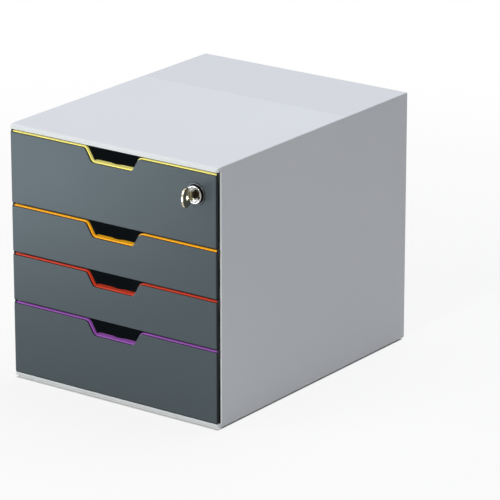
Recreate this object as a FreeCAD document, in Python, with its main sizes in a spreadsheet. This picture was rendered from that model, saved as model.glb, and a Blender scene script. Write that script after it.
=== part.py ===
"""A desktop drawer box for A4 paper: a moulded casing with four sliding drawers, the top one with a lock.

The casing is one moulding: top, base and side walls with the drawer runners. Its top and base reach forward
as thin lips, and the side walls stop behind them, where the drawer fronts cover their edges. A back panel
snaps into the rear, and four rubber feet sit in round seats under the base.

Each drawer is a tray that slides on two runners, a front that clips over the tray's front wall, and a
coloured trim that is held between them and follows the finger notch. The top drawer carries a cam lock: a
collar, housing, nut, plug with its wafers, and a cam that turns up behind a strike under the casing's top.

Sizes are millimetres. X is the width, Y runs from the fronts to the back, and Z is up from the table. Every
sub-part is drawn with the fronts' outer face at Y = 0 and is then placed by its own Placement.
"""

import FreeCAD, Part
import math
import os
import re

import Sketcher
from FreeCAD import Vector

SIZES = {
    # casing
    "case_width": 280,
    "case_height": 292,
    "case_depth": 356,
    "case_wall": 2.5,
    "case_edge": 1.0,
    "foot_lift": 2,
    "top_lip": 5,
    "base_lip": 5,
    "lip_depth": 6,
    "lip_corner": 4,
    "wall_setback": 6.6,
    "wall_edge": 0.4,
    "rear_step": 0.4,
    "rear_step_start": 237.5,
    # the vertical module that the drawer heights are made of
    "drawer_module": 28,
    # drawer fronts
    "front_gap": 0.8,
    "front_drop": 3.3,
    "front_side_gap": 1,
    "front_skin": 2,
    "front_depth": 2.4,
    "front_corner": 2.2,
    "ear_width": 1.8,
    "ear_drop": 0.3,
    "ear_depth": 5,
    "ear_root": 6,
    "front_edge": 0.6,
    "grip_top": 72.6,
    "grip_bottom": 54.2,
    "grip_depth": 15.2,
    "grip_radius": 6,
    "hook_inset": 46,
    "hook_width": 8,
    "hook_skin": 1.5,
    "hook_nose": 0.8,
    "hook_gap": 0.3,
    "hook_low": 17,
    "hook_drop": 26,
    "rib_level": 8,
    "rib_skin": 1.5,
    # coloured trims
    "trim_half": 136.9,
    "trim_start": 2.8,
    "trim_depth": 2.7,
    "trim_rise": 1,
    "trim_lap": 0.2,
    "trim_web_drop": 6,
    "ledge_depth": 7.5,
    "ledge_half": 27,
    "ledge_dip": 1.9,
    "ledge_dip_radius": 18,
    # trays and runners
    "tray_half": 133.5,
    "tray_wall": 2,
    "tray_front": 4.6,
    "tray_rear": 344,
    "tray_top_drop": 5.2,
    "tray_rear_drop": 10,
    "tray_grip_gap": 1.2,
    "tray_corner": 3,
    "tray_rise": 3,
    "runner_width": 10.5,
    "runner_rise": 0.7,
    "runner_skin": 2,
    "runner_front": 16,
    "runner_rear": 350,
    "travel": 260,
    "stop_reach": 3.2,
    "stop_length": 6,
    "stop_height": 16,
    "stop_gap": 0.5,
    # back panel
    "back_skin": 2.5,
    "back_gap": 0.2,
    "back_nose_reach": 0.8,
    "back_nose_skin": 1.5,
    "back_nose_length": 24,
    # feet
    "foot_radius": 8,
    "foot_sink": 1,
    "foot_inset": 22,
    "foot_front": 30,
    "foot_rear": 326,
    "foot_edge": 0.6,
    # cam lock, about its own axis
    "lock_from_side": 28,
    "lock_from_top": 27.7,
    "collar_radius": 12.2,
    "collar_height": 1.4,
    "head_radius": 9.9,
    "head_height": 3,
    "head_edge": 0.5,
    "head_rim": 0.7,
    "dish_depth": 2.2,
    "barrel_radius": 8,
    "barrel_rear": 20,
    "barrel_clear": 0.15,
    "lock_boss_radius": 11.5,
    "plug_radius": 5.5,
    "plug_clear": 0.05,
    "plug_recess": 0.3,
    "plug_rear": 20.2,
    "drive_size": 6,
    "drive_length": 2.6,
    "nut_flats": 20,
    "nut_height": 3.4,
    "cam_reach": 28,
    "cam_width": 12,
    "cam_skin": 2,
    "cam_lift": 0.3,
    "screw_radius": 2,
    "screw_head": 3.8,
    "screw_head_height": 2.2,
    "screw_depth": 7,
    "washer_radius": 4.6,
    "washer_skin": 0.6,
    "strike_half": 11,
    "strike_skin": 2.2,
    "strike_drop": 6.3,
    "strike_gap": 0.6,
    # key and wafers
    "key_reach": 24,
    "bow_depth": 14.5,
    "bow_height": 22,
    "bow_skin": 2.2,
    "bow_round": 5,
    "bow_edge": 0.35,
    "bow_hole": 2,
    "bow_slot": 0.8,
    "blade_skin": 1.8,
    "blade_half": 3.4,
    "blade_rear": 15,
    "neck_half": 4.6,
    "blade_nose": 1.6,
    "key_cut": 1.1,
    "cut_half_width": 1.2,
    "wafer_skin": 0.9,
    "wafer_pitch": 2.6,
    "wafer_first": 2.5,
    "wafer_half_width": 3,
    "wafer_half_height": 4.3,
    "keyway_clear": 0.15,
}
WAFERS = 5  # and as many cuts in the key
DRAWERS = (  # name, modules below its bay, modules high
    ("top_drawer", 7, 3),
    ("second_drawer", 5, 2),
    ("third_drawer", 3, 2),
    ("bottom_drawer", 0, 3),
)

doc = FreeCAD.newDocument("drawer_box")
sheet = doc.addObject("Spreadsheet::Sheet", "Sizes")
for row, (alias, value) in enumerate(SIZES.items(), start=1):
    sheet.set(f"A{row}", alias)
    sheet.set(f"B{row}", str(value))
    sheet.setAlias(f"B{row}", alias)
doc.recompute()

# Expressions that several sub-parts share, in the sheet's words.
HALF = "case_width / 2"
INNER = f"({HALF} - case_wall)"
BASE_TOP = "(foot_lift + base_lip)"
TOP_UNDERSIDE = "(case_height - case_wall)"
ORIGIN_Y = "-(case_depth - key_reach) / 2"
LOCK_X = f"({HALF} - lock_from_side)"
LOCK_Z = "(case_height - top_lip - lock_from_top)"
HEAD_FRONT = "-(collar_height + head_height)"
CAM_START = "(plug_rear + cam_lift)"


# ---------------------------------------------------------------- drawing tools
def bound(text):
    """An expression whose words are cells of the sheet."""
    return re.sub(r"[a-z_]+", lambda m: f"Sizes.{m[0]}" if m[0] in SIZES else m[0], str(text))


def new_body(label):
    body = doc.addObject("PartDesign::Body", label)
    body.Label = label
    return body


def place(body, x="0", y="0", z="0"):
    """Puts a sub-part, drawn about its own reference point, where it belongs in the drawer box."""
    for axis, value in (("x", x), ("y", f"{ORIGIN_Y} + {y}"), ("z", z)):
        body.setExpression(f"Placement.Base.{axis}", bound(value))


def new_sketch(body, plane, level):
    """A sketch on one of the body's origin planes, moved along the plane's axis to level."""
    sketch = body.newObject("Sketcher::SketchObject", f"{body.Label}_sketch")
    support = next(f for f in body.Origin.OriginFeatures if f.Role == f"{plane}_Plane")
    sketch.AttachmentSupport = [(support, "")]
    sketch.MapMode = "FlatFace"
    sign = "-" if plane == "XZ" else ""
    sketch.setExpression("AttachmentOffset.Base.z", bound(f"{sign}({level})"))
    return sketch


def pin(sketch, geometry, point, x, y):
    """Fixes a point of a sketch at expressions x and y."""
    at = sketch.getPoint(geometry, point)
    for kind, here, value in (("DistanceX", at.x, x), ("DistanceY", at.y, y)):
        index = sketch.addConstraint(Sketcher.Constraint(kind, -1, 1, geometry, point, here))
        sketch.setExpression(f"Constraints[{index}]", bound(value))


def polygon(*points):
    """An outline with straight sides. It starts as a regular one, which its dimensions pull into shape."""

    def draw(sketch):
        first, count = sketch.GeometryCount, len(points)
        corners = [Vector(1 + math.cos(a), 2 + math.sin(a), 0) for a in
                   (2 * math.pi * i / count for i in range(count))]
        for i in range(count):
            sketch.addGeometry(Part.LineSegment(corners[i], corners[(i + 1) % count]))
        for i, (x, y) in enumerate(points):
            following = first + (i + 1) % count
            sketch.addConstraint(Sketcher.Constraint("Coincident", first + i, 2, following, 1))
            pin(sketch, first + i, 1, x, y)

    return draw


def rectangle(x0, x1, y0, y1):
    return polygon((x0, y0), (x1, y0), (x1, y1), (x0, y1))


def circle(x, y, radius):
    def draw(sketch):
        index = sketch.addGeometry(Part.Circle(Vector(1, 2, 0), Vector(0, 0, 1), 3))
        pin(sketch, index, 3, x, y)
        size = sketch.addConstraint(Sketcher.Constraint("Radius", index, 3))
        sketch.setExpression(f"Constraints[{size}]", bound(radius))

    return draw


def add(body, plane, start, end, *outlines):
    """Pads the outlines from start to end along the plane's axis."""
    return slab(body, "PartDesign::Pad", plane == "XZ", plane, start, end, outlines)


def cut(body, plane, start, end, *outlines):
    """Pockets the outlines from start to end along the plane's axis."""
    before = body.Tip.Shape.Volume
    feature = slab(body, "PartDesign::Pocket", plane != "XZ", plane, start, end, outlines)
    if feature.Shape.Volume >= before:
        raise RuntimeError(f"{body.Label}: a pocket cuts nothing")
    return feature


def slab(body, kind, backwards, plane, start, end, outlines):
    sketch = new_sketch(body, plane, start)
    for draw in outlines:
        draw(sketch)
    feature = body.newObject(kind, f"{body.Label}_{kind[12:].lower()}")
    feature.Profile = sketch
    feature.Reversed = backwards
    feature.setExpression("Length", bound(f"({end}) - ({start})"))
    sketch.Visibility = False
    doc.recompute()
    return feature


def revolve(body, kind, *points):
    """Turns an outline of (radius, y) points about the Y axis."""
    sketch = new_sketch(body, "XY", "0")
    polygon(*points)(sketch)
    feature = body.newObject(f"PartDesign::{kind}", f"{body.Label}_{kind.lower()}")
    feature.Profile = sketch
    feature.ReferenceAxis = (sketch, ["V_Axis"])
    feature.Angle = 360
    doc.recompute()
    return feature


def dress(body, kind, size_name, size, wanted):
    """A fillet or chamfer on every edge of the body for which wanted(edge) is true."""
    base = body.Tip
    names = [f"Edge{i}" for i, edge in enumerate(base.Shape.Edges, start=1) if wanted(edge)]
    if not names:
        raise RuntimeError(f"{body.Label}: no edge to dress")
    feature = body.newObject(f"PartDesign::{kind}", f"{body.Label}_{kind.lower()}")
    feature.Base = (base, names)
    feature.setExpression(size_name, bound(size))
    doc.recompute()
    return feature


def fillet(body, radius, wanted):
    return dress(body, "Fillet", "Radius", radius, wanted)


def chamfer(body, size, wanted):
    return dress(body, "Chamfer", "Size", size, wanted)


def runs_along(edge, axis):
    """True for a straight edge parallel to axis, which is 'x', 'y' or 'z'."""
    if len(edge.Vertexes) != 2:
        return False
    span = edge.Vertexes[1].Point - edge.Vertexes[0].Point
    return abs(abs(getattr(span, axis)) - edge.Length) < 1e-6


def lies_at(edge, axis, value):
    """True if the whole edge has that coordinate."""
    low, high = (getattr(edge.BoundBox, axis.upper() + end) for end in ("Min", "Max"))
    return abs(low - value) < 0.01 and abs(high - value) < 0.01


def mirrored(low, high):
    """The two spans at either side of the middle, from low to high out from it."""
    return ((f"-({high})", f"-({low})"), (low, high))


# ---------------------------------------------------------------- casing
def casing_shell():
    """Top, base and side walls in one moulding, with runners, drawer stops and the lock's strike."""
    body = new_body("casing_shell")
    add(body, "XZ", 0, "case_depth", rectangle(f"-{HALF}", HALF, "foot_lift", "case_height"))
    fillet(body, "case_edge", lambda e: runs_along(e, "y"))
    # the space behind the lips, then the mouth between them
    cut(body, "XZ", "lip_depth", "case_depth",
        rectangle(f"-{INNER}", INNER, "foot_lift + case_wall", TOP_UNDERSIDE))
    cut(body, "XZ", 0, "lip_depth", rectangle(f"-{INNER}", INNER, BASE_TOP, "case_height - top_lip"))
    for low, high in mirrored(INNER, f"{HALF} + 1"):
        cut(body, "YZ", low, high, rectangle(-1, "wall_setback", BASE_TOP, "case_height - top_lip"))
    cut(body, "YZ", f"-{HALF} - 1", f"{HALF} + 1",
        rectangle("rear_step_start", "case_depth + 1", "case_height - rear_step", "case_height + 1"))
    round_lips(body)
    runners_and_stops(body)
    lock_strike(body)
    snap_pockets(body)
    foot_seats(body)
    place(body)


def round_lips(body):
    """Rounds the lips' upright corners and their long front edges."""
    half, setback = SIZES["case_width"] / 2, SIZES["wall_setback"]
    fillet(body, "lip_corner", lambda e: runs_along(e, "z") and lies_at(e, "y", 0)
           and abs(abs(e.BoundBox.XMin) - half) < 0.01)
    fillet(body, "wall_edge", lambda e: (lies_at(e, "y", 0) and e.Length > 100)
           or (runs_along(e, "z") and lies_at(e, "y", setback)))


def runners_and_stops(body):
    """Two runner ribs for each drawer, and a lug on each wall that stops the tray at full travel."""
    stop_end = "(tray_rear - tray_corner - stop_length - travel - stop_gap)"
    lug_face = "(tray_half + stop_gap)"
    for low, high in mirrored(f"{INNER} - runner_width", f"{INNER} + case_wall / 2"):
        add(body, "YZ", low, high, *(
            rectangle("runner_front", "runner_rear", f"{bay(below)} + runner_rise",
                      f"{bay(below)} + runner_rise + runner_skin")
            for _, below, _ in DRAWERS))
    for low, high in mirrored(lug_face, f"{INNER} + case_wall / 2"):
        add(body, "YZ", low, high, *(
            rectangle(f"{stop_end} - stop_length", stop_end, f"{bay(below)} + runner_rise",
                      f"{bay(below)} + runner_rise + stop_height")
            for _, below, _ in DRAWERS))


def lock_strike(body):
    """A rib under the top. The cam turns up behind it, so the locked drawer can't come forward."""
    end = f"({CAM_START} - strike_gap)"
    add(body, "XZ", f"{end} - strike_skin", end,
        rectangle(f"{LOCK_X} - strike_half", f"{LOCK_X} + strike_half",
                  f"{TOP_UNDERSIDE} - strike_drop", f"{TOP_UNDERSIDE} + case_wall / 2"))


def noses(spare):
    """Outlines of the back panel's noses, seen from the side: three, in the middle of its thickness."""
    depth, height = "(case_depth - back_skin / 2)", "(case_height + foot_lift) / 2"
    half_skin, half_length = f"(back_nose_skin / 2 + {spare})", f"(back_nose_length / 2 + {spare})"
    for share in ("-0.3", "0", "0.3"):
        middle = f"{height} + {share} * case_height"
        yield rectangle(f"{depth} - {half_skin}", f"{depth} + {half_skin}",
                        f"{middle} - {half_length}", f"{middle} + {half_length}")


def snap_pockets(body):
    """Slots in the side walls that take the back panel's noses."""
    for start, end in mirrored(f"{INNER} - 1", f"{INNER} + back_nose_reach"):
        cut(body, "YZ", start, end, *noses("back_gap / 2"))


def foot_places():
    """Label, x and y of each foot."""
    for end, y in (("front", "foot_front"), ("rear", "foot_rear")):
        for side, sign in (("left", "-"), ("right", "")):
            yield f"foot_{end}_{side}", f"{sign}({HALF} - foot_inset)", y


def foot_seats(body):
    cut(body, "XY", "foot_lift - 1", "foot_lift + foot_sink",
        *(circle(x, y, "foot_radius + 0.1") for _, x, y in foot_places()))


def feet():
    """Four rubber pads with rounded rims."""
    for label, x, y in foot_places():
        body = new_body(label)
        add(body, "XY", 0, "foot_lift + foot_sink", circle("0", "0", "foot_radius"))
        fillet(body, "foot_edge", lambda e: lies_at(e, "z", 0))
        place(body, x, y)


def back_panel():
    """A flat panel between the walls, with three noses a side that snap into the casing's slots."""
    body = new_body("back_panel")
    edge = f"({INNER} - back_gap)"
    add(body, "XZ", "case_depth - back_skin", "case_depth",
        rectangle(f"-{edge}", edge, "foot_lift + case_wall + back_gap", f"{TOP_UNDERSIDE} - back_gap"))
    for start, end in mirrored(f"{edge} - 1", f"{edge} + back_nose_reach"):
        add(body, "YZ", start, end, *noses("0"))
    place(body)


# ---------------------------------------------------------------- drawers
def bay(below):
    """Height of a bay's floor over the table, for a number of modules below it."""
    return f"({BASE_TOP} + {below} * drawer_module)"


def grip_points(top, rise):
    """The finger notch's four corners, left to right, on a line that is rise above the front's top edge."""
    # the sloping side moves out as the line rises, because it keeps its distance from the slope
    slope = "((grip_top - grip_bottom) / 2 / grip_depth)"
    shift = f"({rise} * (sqrt(1 + {slope} * {slope}) - {slope}))"
    above, below = f"{top} + {rise}", f"{top} - grip_depth + {rise}"
    outer, inner = f"(grip_top / 2 - {shift})", f"(grip_bottom / 2 - {shift})"
    return (f"-{outer}", above), (f"-{inner}", below), (inner, below), (outer, above)


def at_grip(edge):
    """True for a notch corner: an edge along Y, near the middle of the drawer."""
    half = SIZES["grip_top"] / 2 + 2
    return runs_along(edge, "y") and abs(edge.BoundBox.XMin) < half and abs(edge.BoundBox.XMax) < half


def drawer_front(name, modules, z, locked):
    """The front: a skin with a return along its sides and bottom, clipped to the tray by four hooks. An
    upright ear stands behind each end of its top edge and closes the end of the trim's groove."""
    body = new_body(f"{name}_front")
    side = f"({HALF} - front_side_gap)"
    top, crown = (f"({modules} * drawer_module - {drop})" for drop in ("front_drop", "ear_drop"))
    add(body, "XZ", 0, "front_depth", rectangle(f"-{side}", side, "front_gap", top))
    fillet(body, "front_corner", lambda e: runs_along(e, "z") and lies_at(e, "y", 0))
    notch = grip_points(top, "0")
    cut(body, "XZ", -1, "front_depth + 1", polygon(
        *notch, (notch[3][0], f"{top} + 1"), (notch[0][0], f"{top} + 1")))
    fillet(body, "grip_radius", at_grip)
    fillet(body, "front_edge", lambda e: lies_at(e, "y", 0))
    for low, high in mirrored(f"{side} - ear_width", side):
        add(body, "XZ", "front_depth", "ear_depth", rectangle(low, high, f"{top} - ear_root", crown))
    inside = f"({side} - front_skin)"
    cut(body, "XZ", "front_skin", "front_depth + 1",
        rectangle(f"-{inside}", inside, "front_gap + front_skin", f"{top} + 1"))
    # a rib that rests on the tray, near the bottom
    add(body, "XZ", "front_skin - 0.5", "tray_front",
        rectangle(f"-({side} - hook_inset)", f"{side} - hook_inset", "rib_level", "rib_level + rib_skin"))
    for low, high in mirrored(f"{side} - hook_inset - hook_width", f"{side} - hook_inset"):
        for level in hook_levels(top):
            hook(body, low, high, level)
    if locked:
        x, height = LOCK_X, f"({top} + front_drop - lock_from_top)"
        add(body, "XZ", "front_skin - 0.5", "tray_front", circle(x, height, "lock_boss_radius"))
        cut(body, "XZ", -1, "tray_front + 1", circle(x, height, "barrel_radius + barrel_clear"))
    place(body, z=z)


def hook_levels(top):
    """Undersides of the lower and the upper hook."""
    return "hook_low", f"{top} - hook_drop"


def hook(body, low, high, level):
    """A springy tongue through the tray's front wall, with a nose that catches behind it."""
    nose, upper = "tray_front + tray_wall + hook_gap", f"{level} + hook_skin"
    add(body, "XZ", "front_skin - 0.5", f"{nose} + hook_skin", rectangle(low, high, level, upper))
    add(body, "XZ", nose, f"{nose} + hook_skin", rectangle(low, high, level, f"{upper} + hook_nose"))


def drawer_trim(name, modules, z):
    """The coloured trim: a strip along the front's top edge and notch, with a web held behind the front."""
    body = new_body(f"{name}_trim")
    top = f"({modules} * drawer_module - front_drop)"
    upper, lower, hem = (grip_points(top, rise) for rise in ("trim_rise", "-trim_lap", "-trim_web_drop"))

    def band(above, below, high, low):
        ends = [(f"{sign}trim_half", f"{top} + {rise}")
                for sign, rise in (("", high), ("", low), ("-", low), ("-", high))]
        return polygon(*above, ends[0], ends[1], *reversed(below), ends[2], ends[3])

    add(body, "XZ", "trim_start", "trim_start + trim_depth", band(upper, lower, "trim_rise", "-trim_lap"))
    for height, radius in trim_bends(modules):
        fillet(body, radius, lambda e, height=height: at_grip(e) and lies_at(e, "z", height))
    # the finger ledge at the bottom of the notch, with a shallow dip in its rear edge
    ledge_end = "(trim_start + ledge_depth)"
    add(body, "XZ", "trim_start", ledge_end,
        rectangle("-ledge_half", "ledge_half", lower[1][1], upper[1][1]))
    cut(body, "XY", lower[1][1], f"{upper[1][1]} + 1",
        circle("0", f"{ledge_end} - ledge_dip + ledge_dip_radius", "ledge_dip_radius"))
    add(body, "XZ", "front_skin", "tray_front", band(lower, hem, "-trim_lap", "-trim_web_drop"))
    place(body, z=z)


def trim_bends(modules):
    """Height and radius of each bend of the trim strip, so that it keeps one thickness round the notch."""
    top = modules * SIZES["drawer_module"] - SIZES["front_drop"]
    bottom = top - SIZES["grip_depth"]
    for sign, rise in (("+", "trim_rise"), ("-", "trim_lap")):
        level = float(f"{sign}1") * SIZES[rise]
        yield top + level, f"grip_radius {sign} {rise}"
        yield bottom + level, f"grip_radius - ({sign}{rise})"


def drawer_tray(name, modules, z, locked):
    """An open box on the runners, with a stop tab at the rear of each side."""
    body = new_body(f"{name}_tray")
    height = f"({modules} * drawer_module)"
    rim = f"({height} - tray_top_drop)"
    add(body, "XY", "tray_rise", rim, rectangle("-tray_half", "tray_half", "tray_front", "tray_rear"))
    fillet(body, "tray_corner", lambda e: runs_along(e, "z"))
    inside = "(tray_half - tray_wall)"
    cut(body, "XY", "tray_rise + tray_wall", f"{rim} + 1",
        rectangle(f"-{inside}", inside, "tray_front + tray_wall", "tray_rear - tray_wall"))
    # the rear wall is lower, and the front wall follows the notch under the trim
    cut(body, "XZ", "tray_rear - tray_wall - 1", "tray_rear + 1", rectangle(
        f"-{inside} + tray_corner", f"{inside} - tray_corner", f"{rim} - tray_rear_drop", f"{rim} + 1"))
    left_top, left_low, right_low, right_top = grip_points(f"({height} - front_drop)", "-tray_grip_gap")
    cut(body, "XZ", "tray_front - 1", "tray_front + tray_wall + 1", polygon(
        left_top, left_low, right_low, right_top,
        (right_top[0], f"{rim} + 2"), (left_top[0], f"{rim} + 2")))
    tab_end = "tray_rear - tray_corner"
    for low, high in mirrored("tray_half - 1", "tray_half + stop_reach"):
        add(body, "YZ", low, high,
            rectangle(f"{tab_end} - stop_length", tab_end, "tray_rise", "tray_rise + stop_height"))
    hook_slots(body, height)
    if locked:
        cut(body, "XZ", "tray_front - 1", "tray_front + tray_wall + 1",
            circle(LOCK_X, f"({height} - lock_from_top)", "barrel_radius + barrel_clear"))
    place(body, z=z)


def hook_slots(body, height):
    """Slots in the tray's front wall for the front's hooks."""
    side = f"({HALF} - front_side_gap)"
    for low, high in mirrored(f"{side} - hook_inset - hook_width", f"{side} - hook_inset"):
        cut(body, "XZ", "tray_front - 1", "tray_front + tray_wall + 0.1", *(
            rectangle(f"{low} - hook_gap", f"{high} + hook_gap", f"{level} - hook_gap",
                      f"{level} + hook_skin + hook_gap")
            for level in hook_levels(f"({height} - front_drop)")))


# ---------------------------------------------------------------- cam lock
def at_lock(body):
    place(body, LOCK_X, "0", LOCK_Z)


def lock_collar():
    """A dark ring between the front and the lock's head."""
    body = new_body("lock_collar")
    add(body, "XZ", "-collar_height", 0, circle("0", "0", "collar_radius"),
        circle("0", "0", "barrel_radius + barrel_clear"))
    outer = SIZES["collar_radius"]
    chamfer(body, "collar_height / 2", lambda e: lies_at(e, "y", -SIZES["collar_height"])
            and e.BoundBox.XMax > outer - 0.01)
    at_lock(body)


def lock_housing():
    """The fixed barrel with its dished head, bored for the plug and grooved for the wafers."""
    body = new_body("lock_housing")
    rim = "(head_radius - head_edge)"
    revolve(
        body, "Revolution",
        ("plug_radius + plug_clear", "barrel_rear"),
        ("barrel_radius", "barrel_rear"),
        ("barrel_radius", "-collar_height"),
        ("head_radius", "-collar_height"),
        ("head_radius", f"{HEAD_FRONT} + head_edge"),
        (rim, HEAD_FRONT),
        (f"{rim} - head_rim", HEAD_FRONT),
        (f"(2 * {rim} + plug_radius) / 3 - head_rim / 2", f"{HEAD_FRONT} + 0.55 * dish_depth"),
        ("plug_radius + plug_clear", f"{HEAD_FRONT} + dish_depth"),
    )
    groove = "(wafer_half_width + 0.2)"
    cut(body, "XZ", 1, "barrel_rear - 2",
        rectangle(f"-{groove}", groove, "-plug_radius - 1", "plug_radius + 1"))
    at_lock(body)


def lock_nut():
    """The hexagon nut that clamps the housing through the front and the tray."""
    body = new_body("lock_nut")
    start = "(tray_front + tray_wall)"
    corners = [(f"nut_flats / sqrt(3) * {math.cos(math.radians(60 * i)):.6f}",
                f"nut_flats / sqrt(3) * {math.sin(math.radians(60 * i)):.6f}") for i in range(6)]
    add(body, "XZ", start, f"{start} + nut_height", polygon(*corners),
        circle("0", "0", "barrel_radius + barrel_clear / 3"))
    at_lock(body)


def wafer_level(index):
    return f"(wafer_first + {index} * wafer_pitch)"


def lock_plug():
    """The turning core: a keyway through it, a slot for each wafer and a square drive for the cam."""
    body = new_body("lock_plug")
    end = "(plug_rear + cam_lift + drive_length)"
    front = f"({HEAD_FRONT} + dish_depth + plug_recess)"
    add(body, "XZ", front, "plug_rear", circle("0", "0", "plug_radius"))
    add(body, "XZ", "plug_rear", end,
        rectangle("-drive_size / 2", "drive_size / 2", "-drive_size / 2", "drive_size / 2"))
    chamfer(body, "0.4", lambda e: e.BoundBox.YMax < 0 and abs(e.BoundBox.YMax - e.BoundBox.YMin) < 0.01)
    cut(body, "XZ", f"{front} - 1", "blade_rear + 0.6",
        rectangle("-blade_skin / 2 - keyway_clear", "blade_skin / 2 + keyway_clear",
                  "-blade_half - keyway_clear", "blade_half + keyway_clear"))
    for index in range(WAFERS):
        level = wafer_level(index)
        cut(body, "XZ", f"{level} - 0.1", f"{level} + wafer_skin + 0.1",
            rectangle("-wafer_half_width - 0.1", "wafer_half_width + 0.1",
                      "-plug_radius - 1", "plug_radius + 1"))
    cut(body, "XZ", f"{end} - screw_depth", f"{end} + 1", circle("0", "0", "screw_radius + 0.05"))
    at_lock(body)


def lock_wafers():
    """Wafers, thin plates with a window for the blade, drawn in as they are with the key home."""
    body = new_body("lock_wafers")
    across, tall = "(blade_skin / 2 + 0.3)", "(blade_half + 0.3)"
    for index in range(WAFERS):
        level = wafer_level(index)
        add(body, "XZ", level, f"{level} + wafer_skin",
            rectangle("-wafer_half_width", "wafer_half_width", "-wafer_half_height", "wafer_half_height"),
            rectangle(f"-{across}", across, f"-{tall}", tall))
    at_lock(body)


def lock_cam():
    """The lever on the plug's drive: a round hub and an arm that points left when the drawer is free."""
    body = new_body("lock_cam")
    add(body, "XZ", CAM_START, f"{CAM_START} + cam_skin", circle("0", "0", "cam_width / 2"))
    add(body, "XZ", CAM_START, f"{CAM_START} + cam_skin",
        rectangle("-cam_reach", "0", "-cam_width / 2 + 1", "cam_width / 2 - 1"))
    tip = -SIZES["cam_reach"]
    fillet(body, "2.5", lambda e: runs_along(e, "y") and e.BoundBox.XMin < tip + 0.01)
    square = "(drive_size / 2 + plug_clear)"
    cut(body, "XZ", f"{CAM_START} - 1", f"{CAM_START} + cam_skin + 1",
        rectangle(f"-{square}", square, f"-{square}", square))
    at_lock(body)


def cam_washer():
    body = new_body("cam_washer")
    start = "(plug_rear + cam_lift + drive_length)"
    add(body, "XZ", start, f"{start} + washer_skin", circle("0", "0", "washer_radius"),
        circle("0", "0", "screw_radius + 0.2"))
    at_lock(body)


def cam_screw():
    """A pan-head screw with a cross recess, into the end of the plug."""
    body = new_body("cam_screw")
    start = "(plug_rear + cam_lift + drive_length + washer_skin)"
    add(body, "XZ", start, f"{start} + screw_head_height", circle("0", "0", "screw_head"))
    end = SIZES["plug_rear"] + SIZES["cam_lift"] + SIZES["drive_length"] + SIZES["washer_skin"]
    end += SIZES["screw_head_height"]
    fillet(body, "0.9", lambda e: lies_at(e, "y", end))
    add(body, "XZ", f"{start} - washer_skin - screw_depth + 1", start, circle("0", "0", "screw_radius"))
    for across, along in (("2.2", "0.45"), ("0.45", "2.2")):
        cut(body, "XZ", f"{start} + screw_head_height - 1.2", f"{start} + screw_head_height + 1",
            rectangle(f"-{across}", across, f"-{along}", along))
    at_lock(body)


def bow_outline():
    """Corners of the bow, which is an oval with flattened ends when seen from the side."""
    middle = "(bow_depth / 2 - key_reach)"
    quarter = ((1, 0.22), (0.9, 0.52), (0.62, 0.83), (0.3, 1))
    right = [*quarter, *((-along, up) for along, up in reversed(quarter))]
    return [(f"{middle} + {along} * bow_depth / 2", f"{up} * bow_height / 2")
            for along, up in (*right, *((-along, -up) for along, up in right))]


def key():
    """A flat key: oval bow with an upright slot for a ring, a shoulder and a blade cut on both edges."""
    body = new_body("key")
    middle = "(bow_depth / 2 - key_reach)"
    shoulder = f"({HEAD_FRONT} + dish_depth - 0.2)"
    add(body, "YZ", "-bow_skin / 2", "bow_skin / 2", polygon(*bow_outline()))
    fillet(body, "bow_round", lambda e: runs_along(e, "x"))
    add(body, "YZ", "-bow_skin / 2", "bow_skin / 2", rectangle(middle, shoulder, "-neck_half", "neck_half"))
    for outline in (circle(middle, "bow_slot", "bow_hole"), circle(middle, "-bow_slot", "bow_hole"),
                    rectangle(f"{middle} - bow_hole", f"{middle} + bow_hole", "-bow_slot", "bow_slot")):
        cut(body, "YZ", "-bow_skin", "bow_skin", outline)
    fillet(body, "bow_edge", lambda e: abs(abs(e.BoundBox.XMin) - SIZES["bow_skin"] / 2) < 0.01
           and abs(abs(e.BoundBox.XMax) - SIZES["bow_skin"] / 2) < 0.01)
    start, tip = f"{shoulder} - 1", "blade_rear - blade_nose"
    add(body, "YZ", "-blade_skin / 2", "blade_skin / 2", polygon(
        (start, "-blade_half"), (tip, "-blade_half"), ("blade_rear", "-blade_half + blade_nose"),
        ("blade_rear", "blade_half - blade_nose"), (tip, "blade_half"), (start, "blade_half")))
    for index in range(WAFERS):
        middle = f"({wafer_level(index)} + wafer_skin / 2)"
        for sign in ("-", ""):
            edge, root = f"{sign}(blade_half + 0.1)", f"{sign}(blade_half - key_cut)"
            cut(body, "YZ", "-blade_skin", "blade_skin", polygon(
                (f"{middle} - cut_half_width", edge), (f"{middle} - cut_half_width / 3", root),
                (f"{middle} + cut_half_width / 3", root), (f"{middle} + cut_half_width", edge)))
    at_lock(body)


# ---------------------------------------------------------------- build, check and write
def build():
    casing_shell()
    back_panel()
    feet()
    for name, below, modules in DRAWERS:
        locked = name == "top_drawer"
        drawer_tray(name, modules, bay(below), locked)
        drawer_front(name, modules, bay(below), locked)
        drawer_trim(name, modules, bay(below))
    for make in (lock_collar, lock_housing, lock_nut, lock_plug, lock_wafers, lock_cam, cam_washer,
                 cam_screw, key):
        make()
    doc.recompute()


def checked_subparts():
    """Every body, once nothing in the document has failed and every shape is sound."""
    for item in doc.Objects:
        if {"Invalid", "Error"} & set(item.State):
            raise RuntimeError(f"{item.Label}: {item.State}")
    bodies = [item for item in doc.Objects if item.TypeId == "PartDesign::Body"]
    for body in bodies:
        if body.Shape.isNull() or not body.Shape.isValid() or not body.Shape.Solids:
            raise RuntimeError(f"{body.Label}: unsound shape")
    return bodies


def write(bodies):
    os.makedirs("parts", exist_ok=True)
    for body in bodies:
        body.Shape.exportStep(f"parts/{body.Label}.step")
        box = body.Shape.BoundBox
        print(f"{body.Label:24s} {len(body.Shape.Solids)} solid  {body.Shape.Volume / 1000:9.2f} cm3  "
              f"{box.XLength:7.2f} x {box.YLength:7.2f} x {box.ZLength:7.2f} mm")


build()
write(checked_subparts())
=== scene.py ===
import math

import bmesh
import bpy
from mathutils import Matrix, Vector


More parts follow.
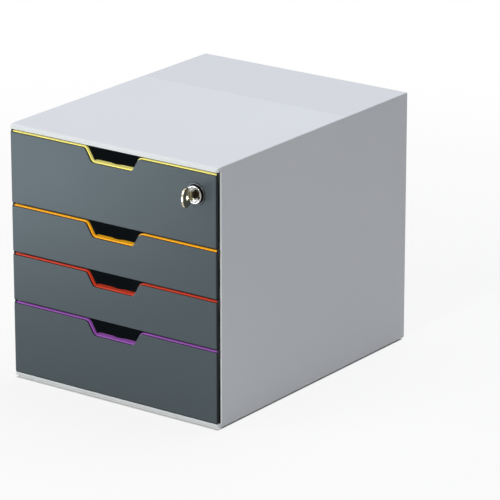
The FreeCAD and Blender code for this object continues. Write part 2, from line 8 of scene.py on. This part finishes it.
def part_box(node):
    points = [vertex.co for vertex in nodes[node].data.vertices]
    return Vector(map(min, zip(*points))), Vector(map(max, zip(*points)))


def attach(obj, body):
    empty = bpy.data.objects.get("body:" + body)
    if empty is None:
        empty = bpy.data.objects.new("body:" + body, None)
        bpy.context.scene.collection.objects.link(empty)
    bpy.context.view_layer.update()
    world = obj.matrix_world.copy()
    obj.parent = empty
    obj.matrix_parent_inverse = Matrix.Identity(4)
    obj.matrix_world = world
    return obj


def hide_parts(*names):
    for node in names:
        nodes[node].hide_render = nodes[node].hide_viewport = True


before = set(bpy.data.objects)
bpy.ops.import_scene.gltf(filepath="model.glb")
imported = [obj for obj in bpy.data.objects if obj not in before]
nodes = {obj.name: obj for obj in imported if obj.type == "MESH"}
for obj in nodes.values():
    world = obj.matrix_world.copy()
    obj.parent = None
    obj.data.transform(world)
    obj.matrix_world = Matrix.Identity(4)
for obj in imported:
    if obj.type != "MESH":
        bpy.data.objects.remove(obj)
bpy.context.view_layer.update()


# ---------------------------------------------------------------------------------------------------------
# Casing. One light grey moulding with its back panel snapped in. The mould is spark eroded, so every face
# has a fine even grain. The rear third of the top has painted shade, a little darker, for the change in
# its reflection. The walls' front edges have a painted highlight, paler, and the rebate behind the fronts
# has painted shade, almost black.
# ---------------------------------------------------------------------------------------------------------
class Wire:
    """A socket that can be added, subtracted, multiplied and compared, each time with a Math node."""

    def __init__(self, finish, socket):
        self.finish = finish
        self.socket = socket

    def maths(self, operation, first, second=0.0):
        return self.finish.node("ShaderNodeMath", {"operation": operation}, {0: first, 1: second})["Value"]

    def __add__(self, other):
        return self.maths("ADD", self, other)

    def __sub__(self, other):
        return self.maths("SUBTRACT", self, other)

    def __rsub__(self, other):
        return self.maths("SUBTRACT", other, self)

    def __mul__(self, other):
        return self.maths("MULTIPLY", self, other)

    def __gt__(self, other):
        return self.maths("GREATER_THAN", self, other)

    def __lt__(self, other):
        return self.maths("LESS_THAN", self, other)

    def __abs__(self):
        return self.maths("ABSOLUTE", self)

    def maximum(self, other):
        return self.maths("MAXIMUM", self, other)

    __radd__ = __add__
    __rmul__ = __mul__


class Finish:
    """A material or a world, put together node by node."""

    def __init__(self, owner):
        owner.use_nodes = True
        self.owner = owner
        self.tree = owner.node_tree
        self.tree.nodes.clear()

    def node(self, kind, settings=None, sockets=None):
        """Adds a node, sets its settings and then its sockets, and returns its outputs by name."""
        node = self.tree.nodes.new(kind)
        for name, value in (settings or {}).items():
            setattr(node, name, value)
        for key, value in (sockets or {}).items():
            socket = node.inputs[key] if isinstance(key, int) else self.find(node.inputs, key)
            if isinstance(value, Wire):
                self.tree.links.new(value.socket, socket)
            else:
                socket.default_value = value
        return {name: Wire(self, socket) for socket in node.outputs
                for name in (socket.name, socket.identifier)}

    @staticmethod
    def find(sockets, key):
        return next(s for s in sockets if key in (s.identifier, s.name))

    def mix(self, first, second, factor):
        """A colour between two others."""
        return self.node("ShaderNodeMix", {"data_type": "RGBA"},
                         {"Factor_Float": factor, "A_Color": first, "B_Color": second})["Result_Color"]

    def place(self):
        """Where the point is on the object, in metres, as a vector and as x, y and z."""
        vector = self.node("ShaderNodeTexCoord")["Object"]
        parts = self.node("ShaderNodeSeparateXYZ", sockets={"Vector": vector})
        return vector, parts["X"], parts["Y"], parts["Z"]

    def noise(self, vector, scale, detail=2.0):
        """Noise from 0 to 1, with cells of about 1 / scale metres."""
        return self.node("ShaderNodeTexNoise", sockets={
            "Vector": vector, "Scale": scale, "Detail": detail, "Roughness": 0.55})["Fac"]

    def bump(self, height, depth):
        """A normal from a height of 0 to 1 that stands for depth metres."""
        return self.node("ShaderNodeBump", sockets={
            "Height": height, "Distance": depth, "Strength": 1.0})["Normal"]

    def close(self, **sockets):
        """Ends a material with its shader. Words in a socket's name are joined with underscores."""
        shader = self.node("ShaderNodeBsdfPrincipled", sockets={
            name.replace("_", " "): value for name, value in sockets.items()})
        self.node("ShaderNodeOutputMaterial", sockets={"Surface": shader["BSDF"]})
        return self.owner


def paint(hexadecimal):
    """The colour of a hexadecimal sRGB code, as a shader takes it."""
    channels = [int(hexadecimal[i:i + 2], 16) / 255 for i in (0, 2, 4)]
    return tuple((c / 12.92 if c <= 0.04045 else ((c + 0.055) / 1.055) ** 2.4) for c in channels) + (1.0,)


def shade(colour, factor):
    """A colour made darker or paler by a factor."""
    return tuple(c * factor for c in colour[:3]) + (1.0,)


def moulded(name, colour, roughness, grain=0.00002, grain_cells=2600, specular=0.5, zone=None, glow=0.0):
    """Injection-moulded plastic: a fine grain, faint flow marks and a little unevenness in its sheen. A zone
    is a function that paints part of the tone; here the zones paint shade and highlights. A glow is painted
    light, given off as emission."""
    finish = Finish(bpy.data.materials.new(name))
    vector, *_ = finish.place()
    flow = finish.noise(vector, 9.0, 3.0)
    speckle = finish.noise(vector, 1500.0)
    tone = finish.mix(shade(colour, 0.965), shade(colour, 1.035), flow * 0.6 + speckle * 0.4)
    if zone:
        tone = zone(finish, tone)
    sheen, spread = finish.noise(vector, 26.0, 3.0), 0.07
    normal = finish.bump(finish.noise(vector, grain_cells, 3.0), grain)
    return finish.close(Base_Color=tone, Roughness=sheen * spread + (roughness - spread / 2), Normal=normal,
                        Specular_IOR_Level=specular, IOR=1.5, Emission_Color=tone, Emission_Strength=glow)


def dress(piece, material):
    piece.data.materials.clear()
    piece.data.materials.append(material)


CASING_GREY = paint("dadce2")
FRONT_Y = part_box("casing_shell")[0][1]
TOP_FACE_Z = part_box("casing_shell")[1][2] - 0.001
STEP_Y = FRONT_Y + 0.2375
REBATE_FRONT_Y, REBATE_BACK_Y = FRONT_Y + 0.0005, FRONT_Y + 0.0072
REBATE_HALF, REBATE_LOW_Z, REBATE_HIGH_Z = 0.1381, 0.0068, 0.2872
RIM_FRONT_Y, RIM_BACK_Y = FRONT_Y + 0.006, FRONT_Y + 0.0069


def casing_painted_light(finish, tone):
    _, x, y, z = finish.place()
    # Painted shade: the rear third of the top is made a little darker, for the change in its reflection.
    rear = (y > STEP_Y) * (z > TOP_FACE_Z)
    # Painted shade: the rebate behind the fronts is made almost black.
    rebate_shade = (y > REBATE_FRONT_Y) * (y < REBATE_BACK_Y) * (abs(x) < REBATE_HALF)
    rebate_shade = rebate_shade * (z > REBATE_LOW_Z) * (z < REBATE_HIGH_Z)
    # Painted highlight: the walls' front edges are made paler.
    rim = (y > RIM_FRONT_Y) * (y < RIM_BACK_Y) * (abs(x) > REBATE_HALF)
    tone = finish.mix(tone, shade(CASING_GREY, 0.945), rear * 0.9)
    tone = finish.mix(tone, shade(CASING_GREY, 1.2), rim)
    return finish.mix(tone, shade(CASING_GREY, 0.12), rebate_shade)


casing_plastic = moulded("light_grey_plastic", CASING_GREY, 0.5, specular=0.12, zone=casing_painted_light)
dress(nodes["casing_shell"], casing_plastic)
dress(nodes["back_panel"], casing_plastic)


# ---------------------------------------------------------------------------------------------------------
# Feet. Four round pads of black rubber, moulded with a flat tread. Each is pressed into a round seat under
# the base, so that the box stands just clear of the desk and doesn't slip.
# ---------------------------------------------------------------------------------------------------------
rubber = moulded("black_rubber", paint("1d1d1f"), 0.78, grain=0.00004, grain_cells=1400, specular=0.35)
for name, node in nodes.items():
    if name.startswith("foot_"):
        dress(node, rubber)


# ---------------------------------------------------------------------------------------------------------
# Drawers. Each is a moulded anthracite tray with an anthracite front clipped over its front wall. The fronts
# have a finer, silkier grain than the trays, and their edges and returns have painted shade, almost black.
# ---------------------------------------------------------------------------------------------------------
DRAWERS = ("top_drawer", "second_drawer", "third_drawer", "bottom_drawer")
ANTHRACITE = paint("485157")
# The trays have a faint painted glow: light given off as emission where they sit in shade.
tray_plastic = moulded("anthracite_tray_plastic", shade(ANTHRACITE, 0.8), 0.5, glow=0.07)
FACE_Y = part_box("top_drawer_front")[0][1] + 0.0004


def painted_return_shade(finish, tone):
    _, _, y, _ = finish.place()
    # Painted shade: everything behind the face plane is made almost black.
    return finish.mix(tone, shade(ANTHRACITE, 0.15), y > FACE_Y)


front_plastic = moulded("anthracite_front_plastic", ANTHRACITE, 0.4, grain=0.000012, specular=0.15,
                        zone=painted_return_shade)
for drawer in DRAWERS:
    dress(nodes[f"{drawer}_tray"], tray_plastic)
    dress(nodes[f"{drawer}_front"], front_plastic)


# ---------------------------------------------------------------------------------------------------------
# Trims. A coloured strip along the top of each front and round its finger notch, moulded with a finger
# ledge and clamped behind the front. It has a painted glow, light given off as emission that stands in
# for the light it lacks in the shade of its groove.
# ---------------------------------------------------------------------------------------------------------
TRIM_COLOURS = {"top_drawer": "faf08e", "second_drawer": "ffb622", "third_drawer": "cc4028",
                "bottom_drawer": "9957b3"}
for drawer, code in TRIM_COLOURS.items():
    # The glow is painted light, given off as emission.
    trim_plastic = moulded(f"{drawer}_trim_plastic", paint(code), 0.4, specular=0.2, glow=0.25)
    dress(nodes[f"{drawer}_trim"], trim_plastic)


# ---------------------------------------------------------------------------------------------------------
# Cam lock. A dark collar and a polished chrome housing show in front, and a nut clamps them from behind. The
# nut, cam, washer and screw are zinc-plated steel, and the plug that the key turns holds stamped brass wafers.
# ---------------------------------------------------------------------------------------------------------
def metal(name, colour, roughness, unevenness=0.05, zone=None):
    """Bare or plated metal, with soft handling marks and a faint uneven polish."""
    finish = Finish(bpy.data.materials.new(name))
    vector, *_ = finish.place()
    marks = finish.noise(vector, 380.0, 4.0)
    cloud = finish.noise(vector, 90.0, 3.0)
    tone = finish.mix(shade(colour, 0.94), shade(colour, 1.04), cloud)
    if zone:
        tone = zone(finish, tone)
    return finish.close(Base_Color=tone, Metallic=1.0,
                        Roughness=marks * unevenness + (roughness - unevenness / 2),
                        Normal=finish.bump(finish.noise(vector, 1900.0, 3.0), 0.000004))


def turned(name, profile, axis_x, axis_z, materials, dark=(), steps=96):
    """A piece turned on a lathe about a line along Y, from its profile of (radius, y) points. The profile's
    segments whose numbers are in dark take the second material."""
    shape = bmesh.new()
    rings = []
    for radius, y in profile:
        turns = (2 * math.pi * i / steps for i in range(steps))
        rings.append([shape.verts.new((axis_x + radius * math.cos(t), y, axis_z + radius * math.sin(t)))
                      for t in turns])
    for number, (inner, outer) in enumerate(zip(rings, rings[1:] + rings[:1])):
        for i in range(steps):
            j = (i + 1) % steps
            face = shape.faces.new((inner[i], inner[j], outer[j], outer[i]))
            face.smooth = True
            face.material_index = int(number in dark)
    bmesh.ops.recalc_face_normals(shape, faces=shape.faces)
    mesh = bpy.data.meshes.new(name)
    shape.to_mesh(mesh)
    shape.free()
    for material in materials:
        mesh.materials.append(material)
    piece = bpy.data.objects.new(name, mesh)
    bpy.context.collection.objects.link(piece)
    return piece


def arc(centre, radius, start, end, count=7):
    """Points of a profile on an arc, with angles in degrees from the radius towards +Y."""
    angles = (math.radians(start + (end - start) * i / (count - 1)) for i in range(count))
    return [(centre[0] + radius * math.cos(a), centre[1] + radius * math.sin(a)) for a in angles]


def lock_head():
    """The housing: a drum with soft edges, a hollow face that falls to the plug, and the barrel behind."""
    low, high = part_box("lock_housing")
    middle_x, middle_z = (low[0] + high[0]) / 2, (low[2] + high[2]) / 2
    plug_radius = (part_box("lock_plug")[1][0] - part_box("lock_plug")[0][0]) / 2
    outer, bore, barrel = (high[0] - low[0]) / 2, plug_radius + 0.00006, 0.008
    face, shoulder, rear = low[1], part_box("lock_collar")[0][1], high[1]
    edge, lip, dish = 0.0007, 0.00035, 0.0022
    profile = [(barrel, rear), (barrel, shoulder), (outer, shoulder)]
    profile += arc((outer - edge, face + edge), edge, 0, -90)
    profile += arc((outer - edge - lip, face + lip), lip, -90, -160, 5)
    start = profile[-1]
    for i in range(1, 10):
        share = i / 9
        fall = 1 - (1 - share) ** 1.7
        profile.append((start[0] + (bore - start[0]) * share, start[1] + (face + dish - start[1]) * fall))
    profile.append((bore, rear))
    # The barrel, shoulder and drum side take painted black: painted shade and dark reflection on the housing's
    # side.
    head = turned("lock_head", profile, middle_x, middle_z,
                  (metal("chrome_plate", paint("c4c3c0"), 0.08, 0.03), shade_black), dark=(0, 1, 2))
    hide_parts("lock_housing")
    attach(head, "top_drawer")


def lock_ring():
    """The collar: a flat ring with a groove round the head and a soft outer edge."""
    low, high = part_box("lock_collar")
    middle_x, middle_z = (low[0] + high[0]) / 2, (low[2] + high[2]) / 2
    outer, face, rear = (high[0] - low[0]) / 2, low[1], high[1]
    bore, seat, groove, depth, edge = 0.00816, 0.0094, 0.0104, 0.0009, 0.0003
    profile = [(bore, rear), (bore, face), (seat, face), (seat, face + depth), (groove, face + depth),
               (groove, face), (outer - edge, face), (outer, face + edge), (outer, rear)]
    # The bore, inner step, groove, outer side and back take painted black: painted shade in the groove and
    # round the edge.
    ring = turned("lock_ring", profile, middle_x, middle_z,
                  (metal("gunmetal", paint("58595d"), 0.35), shade_black), dark=(0, 1, 2, 3, 4, 7, 8))
    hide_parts("lock_collar")
    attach(ring, "top_drawer")


# Painted black: painted shade and dark reflections on the housing's side and in the collar's groove and edge.
shade_black = moulded("painted_shade_black", paint("18191b"), 0.45, specular=0.15)
lock_head()
lock_ring()
# The plug is made very dark: painted shade and dark reflection for the shadow in its keyway.
dress(nodes["lock_plug"], metal("plug_painted_dark", paint("4c4841"), 0.2))
zinc = metal("zinc_plate", paint("b4b2ac"), 0.34)
for name in ("lock_nut", "lock_cam", "cam_washer", "cam_screw"):
    dress(nodes[name], zinc)
dress(nodes["lock_wafers"], metal("stamped_brass", paint("c8a25a"), 0.32))


# ---------------------------------------------------------------------------------------------------------
# Key. Stamped from nickel-plated steel strip, with a polished oval bow. Its neck and blade are darker than
# the bow.
# ---------------------------------------------------------------------------------------------------------
NICKEL = paint("d4ccb2")
BOW_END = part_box("key")[0][1] + 0.0145


def blade_zone(finish, tone):
    _, _, y, _ = finish.place()
    return finish.mix(tone, shade(NICKEL, 0.35), y > BOW_END)


dress(nodes["key"], metal("nickel_plate", NICKEL, 0.16, zone=blade_zone))


# ---------------------------------------------------------------------------------------------------------
# Studio. A white floor that keeps the box's shadow, soft boxes at the left, overhead and in front, and a
# small one that shows only as gloss on the fronts. A long lens looks down from the front right.
# ---------------------------------------------------------------------------------------------------------
FLOOR_HALF = 6.0
SHADE_START, SHADE_END, SHADE_DEPTH = 0.35, 1.3, 0.83
UNDER_BOX = 0.0022
GLINT_FRONT_Y, GLINT_BACK_Y, GLINT_HALF, GLINT_SHARE = FRONT_Y + 0.0055, FRONT_Y + 0.0105, 0.137, 0.75


def plain_floor():
    """White paper that fades to plain white away from the box, dark under it, with a thin painted glint in
    front.
    """
    mesh = bpy.data.meshes.new("floor")
    corners = [(x * FLOOR_HALF, y * FLOOR_HALF, 0) for x, y in ((-1, -1), (1, -1), (1, 1), (-1, 1))]
    mesh.from_pydata(corners, [], [(0, 1, 2, 3)])
    floor = bpy.data.objects.new("floor", mesh)
    bpy.context.collection.objects.link(floor)
    finish = Finish(bpy.data.materials.new("white_floor"))
    ray = finish.node("ShaderNodeLightPath")
    seen = (ray["Is Camera Ray"] + ray["Is Glossy Ray"] + ray["Is Transmission Ray"]) > 0.5
    vector, x, y, _ = finish.place()
    away = finish.node("ShaderNodeVectorMath", {"operation": "LENGTH"}, {0: vector})["Value"]
    low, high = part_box("casing_shell")
    middle_y, half_depth = (low[1] + high[1]) / 2, (high[1] - low[1]) / 2
    past = (abs(x) - high[0]).maximum(abs(y - middle_y) - half_depth)
    under = finish.node("ShaderNodeMapRange", {"interpolation_type": "SMOOTHSTEP"},
                        {"Value": past, "From Min": 0.0, "From Max": -UNDER_BOX})["Result"]
    # Painted highlight: a thin white strip on the floor just behind the front, in place of the lip's lower
    # edge.
    painted_glint = (y > GLINT_FRONT_Y) * (y < GLINT_BACK_Y) * (abs(x) < GLINT_HALF)
    far = finish.node("ShaderNodeMapRange", {"interpolation_type": "SMOOTHSTEP"}, {
        "Value": away, "From Min": SHADE_START, "From Max": SHADE_END, "To Min": SHADE_DEPTH,
        "To Max": 1.0})["Result"]
    paper = finish.node("ShaderNodeBsdfDiffuse", sockets={"Color": (0.86, 0.86, 0.86, 1)})["BSDF"]
    white = finish.node("ShaderNodeEmission", sockets={"Color": (1, 1, 1, 1), "Strength": 1.0})["Emission"]
    plain = seen * far * (1 - under * (1 - painted_glint * GLINT_SHARE))
    surface = finish.node("ShaderNodeMixShader", sockets={0: plain, 1: paper, 2: white})["Shader"]
    finish.node("ShaderNodeOutputMaterial", sockets={"Surface": surface})
    mesh.materials.append(finish.owner)


def look(place, ahead):
    """The matrix of a lamp or camera that stands at a place and looks ahead."""
    return Matrix.Translation(place) @ ahead.to_track_quat("-Z", "Y").to_matrix().to_4x4()


def soft_box(name, place, aim, size, power, colour, gloss_only=False):
    lamp = bpy.data.lights.new(name, "AREA")
    lamp.shape = "RECTANGLE"
    lamp.size, lamp.size_y = size
    lamp.energy = power
    lamp.color = colour
    box = bpy.data.objects.new(name, lamp)
    bpy.context.collection.objects.link(box)
    box.matrix_world = look(place, Vector(aim) - Vector(place))
    box.visible_diffuse = not gloss_only


def white_world(strength):
    """A dim world for the light on the box, and a bright one for the camera, gloss and glass to see."""
    world = bpy.data.worlds.new("studio")
    bpy.context.scene.world = world
    sky = Finish(world)
    ray = sky.node("ShaderNodeLightPath")
    level = ray["Is Camera Ray"].maximum(strength)
    level = level.maximum(ray["Is Glossy Ray"]).maximum(ray["Is Transmission Ray"])
    background = sky.node("ShaderNodeBackground", sockets={"Strength": level})["Background"]
    sky.node("ShaderNodeOutputWorld", sockets={"Surface": background})


def long_lens():
    """A camera on a tall stand at the right of the fronts, turned to the left and tilted down."""
    yaw, pitch, sensor, frame_widths = math.radians(35.95), math.radians(18.51), 36.0, 3564.66 / 500
    camera = bpy.data.objects.new("camera", bpy.data.cameras.new("camera"))
    camera.data.sensor_width = sensor
    camera.data.lens = frame_widths * sensor
    camera.data.clip_end = 100
    ahead = Vector((-math.sin(yaw) * math.cos(pitch), math.cos(yaw) * math.cos(pitch), -math.sin(pitch)))
    camera.matrix_world = look(Vector((2.24045, FRONT_Y - 2.83866, 1.38536)), ahead)
    bpy.context.collection.objects.link(camera)
    bpy.context.scene.camera = camera


plain_floor()
white_world(strength=0.2)
soft_box("left_box", place=(-1.3, -1.8, 1.6), aim=(0, -0.1, 0.15), size=(1.4, 1.4), power=18,
         colour=(0.98, 1.0, 0.99))
soft_box("top_box", place=(0.1, 0.5, 1.9), aim=(0.05, 0.1, 0.2), size=(1.6, 1.6), power=22,
         colour=(0.97, 0.99, 1.03))
soft_box("front_box", place=(0.36, -3.2, 1.3), aim=(0, -0.1, 0.15), size=(0.5, 0.5), power=46,
         colour=(1.0, 1.02, 0.92))
soft_box("gloss_box", place=(-0.42, -0.56, 0.11), aim=(-0.05, -0.166, 0.11), size=(0.42, 0.2), power=2.4,
         colour=(0.84, 1.0, 1.1), gloss_only=True)
long_lens()
bpy.context.scene.view_settings.view_transform = "Standard"
